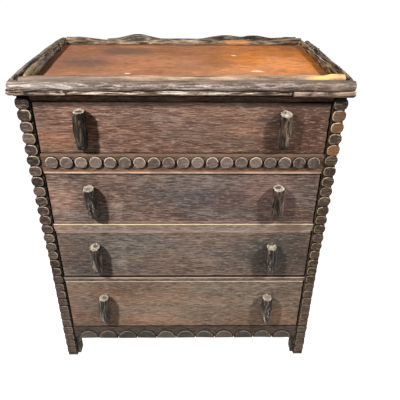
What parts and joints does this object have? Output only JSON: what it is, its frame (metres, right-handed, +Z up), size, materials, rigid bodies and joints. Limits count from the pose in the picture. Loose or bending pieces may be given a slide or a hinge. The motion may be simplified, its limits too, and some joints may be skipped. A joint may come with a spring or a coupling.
{
  "type": "twig-trimmed chest of drawers",
  "caption": "Rustic tabletop chest of drawers with branch-section pulls, slices of branch on the posts and rails, and a stained top framed by twigs.",
  "frame": {"origin": "on the floor, under the middle of the box around the closed chest", "axes": "+Z up, along the longest extent; +Y to the back, along the shortest extent; the drawers open towards -Y"},
  "size_m": [0.4801, 0.3114, 0.5507],
  "materials": {
    "oak_front": "worn matt",
    "top_stain": "worn satin stain",
    "carcass_wood": "matt",
    "bark_twig": "rough bark",
    "slice_end_grain": "weathered end grain",
    "pull_wood": "dark bark",
    "drawer_secondary": "bare",
    "steel_nail": "dull"
  },
  "bodies": {
    "case": {"side_panel_left": "carcass_wood", "post_front_left": "carcass_wood", "post_rear_left": "carcass_wood", "side_panel_right": "carcass_wood", "post_front_right": "carcass_wood", "post_rear_right": "carcass_wood", "back_panel": "carcass_wood", "drawer_runners": "drawer_secondary", "foot_blocks": "carcass_wood", "top_rail": "carcass_wood", "divider_rail_1": "carcass_wood", "divider_rail_2": "carcass_wood", "divider_rail_3": "carcass_wood", "bottom_rail": "carcass_wood", "top_board": "top_stain", "trim_front_branch": "bark_twig", "trim_front_strip": "bark_twig", "trim_front_twigs": "bark_twig", "trim_left_outer": "bark_twig", "trim_left_inner": "bark_twig", "trim_right_outer": "bark_twig", "trim_right_inner": "bark_twig", "trim_back_twig": "bark_twig", "trim_back_vine": "bark_twig", "trim_nails": "steel_nail", "slices_posts": "slice_end_grain", "slices_rail": "slice_end_grain", "slices_bottom_rail": "slice_end_grain"},
    "drawer_1": {"drawer_1_front": "oak_front", "drawer_1_side_left": "drawer_secondary", "drawer_1_side_right": "drawer_secondary", "drawer_1_back": "drawer_secondary", "drawer_1_bottom": "drawer_secondary", "drawer_1_pull_left": "pull_wood", "drawer_1_pull_right": "pull_wood", "drawer_1_pull_screws": "steel_nail"},
    "drawer_2": {"drawer_2_front": "oak_front", "drawer_2_side_left": "drawer_secondary", "drawer_2_side_right": "drawer_secondary", "drawer_2_back": "drawer_secondary", "drawer_2_bottom": "drawer_secondary", "drawer_2_pull_left": "pull_wood", "drawer_2_pull_right": "pull_wood", "drawer_2_pull_screws": "steel_nail"},
    "drawer_3": {"drawer_3_front": "oak_front", "drawer_3_side_left": "drawer_secondary", "drawer_3_side_right": "drawer_secondary", "drawer_3_back": "drawer_secondary", "drawer_3_bottom": "drawer_secondary", "drawer_3_pull_left": "pull_wood", "drawer_3_pull_right": "pull_wood", "drawer_3_pull_screws": "steel_nail"},
    "drawer_4": {"drawer_4_front": "oak_front", "drawer_4_side_left": "drawer_secondary", "drawer_4_side_right": "drawer_secondary", "drawer_4_back": "drawer_secondary", "drawer_4_bottom": "drawer_secondary", "drawer_4_pull_left": "pull_wood", "drawer_4_pull_right": "pull_wood", "drawer_4_pull_screws": "steel_nail"}
  },
  "joints": [
    {"name": "drawer_1_slide", "type": "slide", "parent": "case", "child": "drawer_1", "axis": [0, -1, 0], "range_m": [0, 0.18]},
    {"name": "drawer_2_slide", "type": "slide", "parent": "case", "child": "drawer_2", "axis": [0, -1, 0], "range_m": [0, 0.18]},
    {"name": "drawer_3_slide", "type": "slide", "parent": "case", "child": "drawer_3", "axis": [0, -1, 0], "range_m": [0, 0.18]},
    {"name": "drawer_4_slide", "type": "slide", "parent": "case", "child": "drawer_4", "axis": [0, -1, 0], "range_m": [0, 0.18]}
  ]
}
